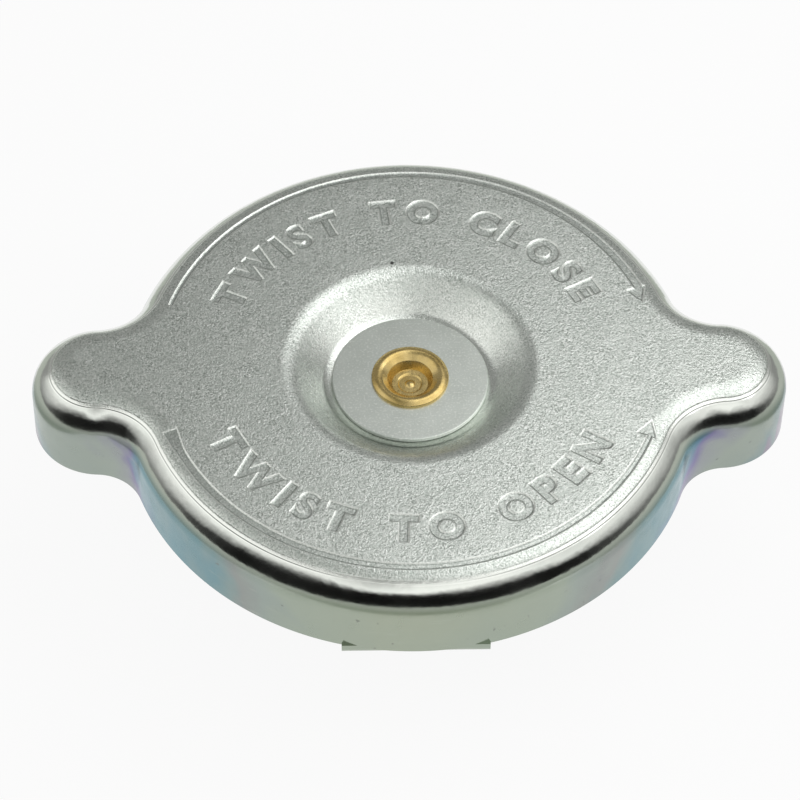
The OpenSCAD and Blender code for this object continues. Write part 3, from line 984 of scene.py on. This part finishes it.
def add_lug(build, side):
    """Tongue of the skirt folded in along a straight line, with rounded free corners."""
    fold = BODY_R - LUG_INSET
    half = LUG_W / 2
    share = np.linspace(-1, 1, LUG_SECTIONS)
    sections = []
    for x in half * np.sin(share * math.pi / 2):
        past = max(0.0, abs(x) - half + LUG_CORNER)
        free_edge = LUG_GAP_R + LUG_CORNER - math.sqrt(max(0.0, LUG_CORNER ** 2 - past ** 2))
        section = sheet_section(
            [(free_edge, LUG_Z), (fold, LUG_Z), (fold, SKIRT_Z + LUG_RISE)], [LUG_BEND], SHEET)
        sections.append(build.ring([(side * x, -side * y, z) for y, z in section], SKIRT))
    build.skin(sections, inward=True)
    first_end, last_end = sections[0], sections[-1]
    last = len(first_end) - 1
    for i in range((last + 1) // 2 - 1):
        j = last - i
        build.face((first_end[i], first_end[i + 1], first_end[j - 1], first_end[j]))
        build.face((last_end[j], last_end[j - 1], last_end[i + 1], last_end[i]))


def make_shell():
    build = Builder()
    rings = add_outside(build)
    dish_over, dish_under = add_dish(build)
    mouths, floors = add_stamps(build)
    add_field(build, rings[-1], dish_over, mouths, floors)
    add_inside(build, rings[0], dish_under)
    for side in (1, -1):
        add_lug(build, side)
    return build.make("shell_pressing", ZINC_SHELL, SHELL_HARD, zoned=True)


def dressed(piece, node, body):
    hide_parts(node)
    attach(piece, body)


dressed(make_shell(), "shell", "shell")


# Rivet and washer, and the turned pieces under the shell

def rivet_section():
    """From the hollow in the rivet's end over its roll and down to the head."""
    roll_z = WASHER_Z + WASHER_T
    head_top = HEAD_Z + HEAD_T
    rolled = beside(folded(
        [ROLL_FOOT, (ROLL_THROAT_R, roll_z), (ROLL_CREST_R, roll_z + ROLL_CREST_H),
         (ROLL_R, roll_z + ROLL_EDGE_H), (ROLL_R, roll_z)],
        ROLL_BENDS, ROLL_STEPS), 0)
    head = [
        (SHANK_R, roll_z), (SHANK_R, head_top), (HEAD_R - HEAD_EDGE, head_top),
        (HEAD_R, head_top - HEAD_EDGE), (HEAD_R, HEAD_Z + HEAD_EDGE),
        (HEAD_R - HEAD_EDGE, HEAD_Z), (0, HEAD_Z)]
    return [*HOLLOW, *rolled, *head]


def seal_section():
    outline = folded(
        [(TUBE_HOLE_R, SEAL_WEB_Z), (SEAL_RING_R, SEAL_WEB_Z), (SEAL_RING_R, 0),
         (SEAL_R, 0), (SEAL_R, SEAL_TOP_Z), (TUBE_HOLE_R, SEAL_TOP_Z)],
        [SEAL_BEND, SEAL_BEND, SEAL_BEND, SEAL_TOP_BEND], SEAL_STEPS)
    return beside(outline, 0)


washer_top = WASHER_Z + WASHER_T
washer = rounded(
    [(BORE_R, WASHER_Z), (WASHER_R, WASHER_Z), (WASHER_R, washer_top), (BORE_R, washer_top)], WASHER_EDGE)
diaphragm = sheet_section(
    [(DIAPHRAGM_R, DIAPHRAGM_LAND_Z), (DIAPHRAGM_LAND_R, DIAPHRAGM_LAND_Z),
     (DIAPHRAGM_MIDDLE_R, DIAPHRAGM_Z), (SHANK_HOLE_R, DIAPHRAGM_Z)],
    [DIAPHRAGM_BEND, DIAPHRAGM_BEND], DIAPHRAGM_T, DIAPHRAGM_STEPS)
spring_seat = sheet_section(
    [(SEAT_R, SEAT_Z - SEAT_LIP), (SEAT_R, SEAT_Z), (SHANK_HOLE_R, SEAT_Z)], [SEAT_BEND], SEAT_T)
bell = sheet_section(
    [(BELL_FLANGE_R, BELL_MOUTH_Z), (BELL_R, BELL_MOUTH_Z), (BELL_R, BELL_Z), (SHANK_HOLE_R, BELL_Z)],
    [BELL_FLANGE_BEND, CUP_BEND], CUP_T)
guide_cup = sheet_section(
    [(TUBE_HOLE_R, PLATE_Z), (GUIDE_R, PLATE_Z), (GUIDE_R, GUIDE_TOP_Z), (GUIDE_LIP_R, GUIDE_TOP_Z)],
    [CUP_BEND, CUP_BEND], CUP_T)
valve_plate = sheet_section(
    [(PLATE_R, PLATE_LIP_Z), (PLATE_R, PLATE_Z), (TUBE_HOLE_R, PLATE_Z)], [PLATE_BEND], PLATE_T)
poppet = [*POPPET_DISC, *POPPET_STEM]
for name, section, material, slot, body in (
        ("crown_washer", washer, ZINC_WASHER, "zinc_washer", "core"),
        ("rivet", rivet_section(), BRASS, "brass", "core"),
        ("diaphragm", diaphragm, SPRING_STEEL, "spring_steel", "core"),
        ("spring_seat", spring_seat, ZINC_INNER, "zinc_inner", "core"),
        ("bell", bell, ZINC_INNER, "zinc_inner", "core"),
        ("guide_cup", guide_cup, ZINC_INNER, "zinc_inner", "pressure_valve"),
        ("valve_plate", valve_plate, ZINC_INNER, "zinc_inner", "pressure_valve"),
        ("valve_seal", seal_section(), RUBBER, "seal_rubber", "pressure_valve"),
        ("vacuum_valve", poppet, BRASS, "brass", "vacuum_poppet")):
    dressed(lathe(name + "_turned", section, material), name, body)

# Springs of wound wire, each with a mesh of its own
pressure_spring = coil(
    "pressure_spring_wire", radius=12.28, wire_r=0.8, low=5.05, high=PRESSURE_SPRING_TOP, turns=5,
    material=SPRING_STEEL)
dressed(pressure_spring, "pressure_spring", "core")
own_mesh(pressure_spring)
vacuum_spring = coil(
    "vacuum_spring_wire", radius=2.1, wire_r=0.2, low=VACUUM_SPRING_FOOT, high=10.75, turns=4,
    material=SPRING_STEEL, steps=32, sides=8)
dressed(vacuum_spring, "vacuum_spring", "pressure_valve")
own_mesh(vacuum_spring)

# Solids that stay as they are, with a better finish
for name, material in (("seal_retainer", BRASS), ("vacuum_clip", SPRING_STEEL)):
    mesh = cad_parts[name].data
    mesh.materials.clear()
    mesh.materials.append(material)


# Stage: floor and backdrop, cards seen in the metal, softboxes and world; sizes in metres
FLOOR_R = 2.5
FLOOR_POINTS = 64
BACKDROP_H = 0.5
WHITE_SHARE = 0.92
SOFTBOX_X, SOFTBOX_Z = 0.105, 0.19
SOFTBOX_W = 0.20
WORLD_TONE = (0.97, 1.0, 0.96, 1)
WORLD_LIGHT = 0.32


def stage_piece(name, points, faces, material):
    piece = added(name, new_mesh(name, points, faces, material))
    return piece


def flat_card(name, corners, material):
    return stage_piece(name, corners, [tuple(range(len(corners)))], material)


def band(name, turns, edges, material):
    """A strip round the cap, over lines that each have a distance and a height, even or by direction."""
    turns = np.radians(turns)
    count = len(turns)
    points = []
    for away, z in edges:
        away, z = np.broadcast_to(away, count), np.broadcast_to(z, count)
        points += np.column_stack((away * np.cos(turns), away * np.sin(turns), z)).tolist()
    faces = [
        (k * count + i, k * count + i + 1, (k + 1) * count + i + 1, (k + 1) * count + i)
        for k in range(len(edges) - 1) for i in range(count - 1)]
    return stage_piece(name, points, faces, material)


def stage_white():
    """Plain white that keeps the cap's soft shadow, for the camera and for reflections alike."""
    s = Shader("floor")
    s.finish((0.9, 0.9, 0.9), 0.9)
    path = s.node("ShaderNodeLightPath")
    seen = s.math("MAXIMUM", path.outputs["Is Camera Ray"], path.outputs["Is Transmission Ray"])
    seen = s.math("MAXIMUM", seen, path.outputs["Is Glossy Ray"])
    glow = s.node("ShaderNodeEmission")
    glow.inputs["Color"].default_value = (1, 1, 1, 1)
    mix = s.node("ShaderNodeMixShader")
    s.put(s.math("MULTIPLY", seen, WHITE_SHARE), mix.inputs["Fac"])
    s.put(s.out.outputs["BSDF"], mix.inputs[1])
    s.put(glow.outputs["Emission"], mix.inputs[2])
    return s.surface(mix.outputs["Shader"])


def glowing(name, tone, strength=None):
    """Even light from a card, or by its own share of light where no strength is given."""
    s = Shader(name)
    glow = s.node("ShaderNodeEmission")
    glow.inputs["Color"].default_value = (*tone, 1)
    s.put(s.attribute("glow") if strength is None else strength, glow.inputs["Strength"])
    return s.surface(glow.outputs["Emission"])


def softbox(name, spot, width, depth, radiance):
    """A lamp that shines straight down."""
    light = bpy.data.lights.new(name, "AREA")
    light.shape = "RECTANGLE"
    light.size = width
    light.size_y = depth
    light.energy = radiance * math.pi * width * depth
    added(name, light).location = spot


WHITE = stage_white()
flat_card("floor", (circle(FLOOR_R / MM, 0, FLOOR_POINTS) * MM).tolist(), WHITE)
band("backdrop", np.linspace(0, 360, FLOOR_POINTS + 1), [(FLOOR_R, 0.0), (FLOOR_R, BACKDROP_H)], WHITE)

# A low dark wall stands round the front, and a bright band over it. Each row has a direction round the cap,
# the lift at which the wall gives way to the band, and how softly, all in degrees, and then the light of
# the wall, of the band and of the band's upper edge, as shares of white.
SURROUND = (
    (-205, 10, 12, 0.30, 1.05, 0.90), (-182, 14, 14, 0.22, 1.12, 1.00), (-166, 23, 13, 0.06, 1.15, 0.95),
    (-150, 33, 7, 0.01, 1.10, 0.85), (-128, 40, 8, 0.01, 1.20, 0.75), (-106, 33, 3, 0.005, 1.15, 0.25),
    (-88, 33, 3, 0.005, 1.30, 0.85), (-66, 35, 6, 0.005, 1.25, 1.00), (-50, 34, 9, 0.01, 1.20, 0.90),
    (-34, 24, 5, 0.01, 1.00, 0.80), (-20, 19, 10, 0.07, 1.00, 0.72), (-5, 16, 13, 0.18, 1.00, 0.62),
    (8, 14, 14, 0.25, 1.00, 0.55), (20, 12, 12, 0.28, 0.75, 0.45), (27, 12, 12, 0.30, 0.35, 0.35),
    (60, 12, 12, 0.32, 0.32, 0.32), (148, 12, 12, 0.32, 0.32, 0.32), (155, 10, 12, 0.30, 1.05, 0.90))
CAP_MIDDLE_Z = 0.022
BAND_POINTS = 121
BAND_LOW, BAND_HIGH = -3.5, 61.0
BAND_LEAN = ((40, 0.30), (48, 0.26), (61, 0.19))
directions, *columns = zip(*SURROUND)
band_turns = np.linspace(directions[0], directions[-1], BAND_POINTS)
edge_lift, edge_soft, wall_light, band_light, upper_light = (
    np.interp(band_turns, directions, column) for column in columns)


def band_edge(lift):
    """Distance and height of a line of the band, which leans in over the cap."""
    away = read_off(BAND_LEAN, lift)
    return away, CAP_MIDDLE_Z + away * np.tan(np.radians(lift))


lifts = (BAND_LOW, edge_lift - edge_soft, edge_lift + edge_soft, BAND_HIGH)
surround = band(
    "surround", band_turns, [band_edge(lift) for lift in lifts], glowing("card_surround", (1, 1, 0.98)))
point_layer(surround.data, "glow", np.concatenate((wall_light, wall_light, band_light, upper_light)))
surround.visible_camera = False
surround.visible_shadow = False

# Grey table round the white sheet that the cap lies on
SHEET_LOW, SHEET_HIGH = (-0.062, -0.066), (0.062, 0.085)
TABLE_END, TABLE_Z = 0.45, 0.0008
table = glowing("card_table", (0.50, 0.53, 0.48), 1.0)
for name, low, high in (
        ("table_front", (-TABLE_END, -TABLE_END), (TABLE_END, SHEET_LOW[1])),
        ("table_back", (-TABLE_END, SHEET_HIGH[1]), (TABLE_END, TABLE_END)),
        ("table_left", (-TABLE_END, SHEET_LOW[1]), (SHEET_LOW[0], SHEET_HIGH[1])),
        ("table_right", (SHEET_HIGH[0], SHEET_LOW[1]), (TABLE_END, SHEET_HIGH[1]))):
    corners = ((low[0], low[1]), (high[0], low[1]), (high[0], high[1]), (low[0], high[1]))
    card = flat_card(name, [(x, y, TABLE_Z) for x, y in corners], table)
    card.visible_camera = False
    card.visible_shadow = False
    card.visible_diffuse = False

for name, y, depth, radiance in (
        ("back_softbox", 0.07, 0.096, 1.70), ("front_softbox", -0.028, 0.10, 1.00)):
    softbox(name, (SOFTBOX_X, y, SOFTBOX_Z), SOFTBOX_W, depth, radiance)

world = bpy.data.worlds.new("studio")
bpy.context.scene.world = world
world.use_nodes = True
background = world.node_tree.nodes["Background"]
background.inputs["Color"].default_value = WORLD_TONE
background.inputs["Strength"].default_value = WORLD_LIGHT


# Camera at the photograph's viewing angle

def add_camera():
    data = bpy.data.cameras.new("camera")
    data.sensor_width = SENSOR_MM
    data.lens = FOCAL_PX / FRAME_PX * SENSOR_MM
    data.shift_x = (FRAME_PX / 2 - TARGET_PX[0]) / FRAME_PX
    data.shift_y = (TARGET_PX[1] - FRAME_PX / 2) / FRAME_PX
    data.clip_start = NEAR_CLIP
    camera = added("camera", data)
    lift, side = math.radians(VIEW_ELEVATION), math.radians(VIEW_AZIMUTH)
    away = Vector((math.sin(side) * math.cos(lift), -math.cos(side) * math.cos(lift), math.sin(lift)))
    target = Vector((0, 0, SKIRT_Z * MM))
    camera.location = target + away * VIEW_DISTANCE * MM
    aim = (-away).to_track_quat("-Z", "Y").to_matrix()
    camera.rotation_euler = (aim @ Matrix.Rotation(math.radians(VIEW_ROLL), 3, "Z")).to_euler()
    bpy.context.scene.camera = camera


add_camera()
bpy.context.scene.view_settings.view_transform = "Standard"
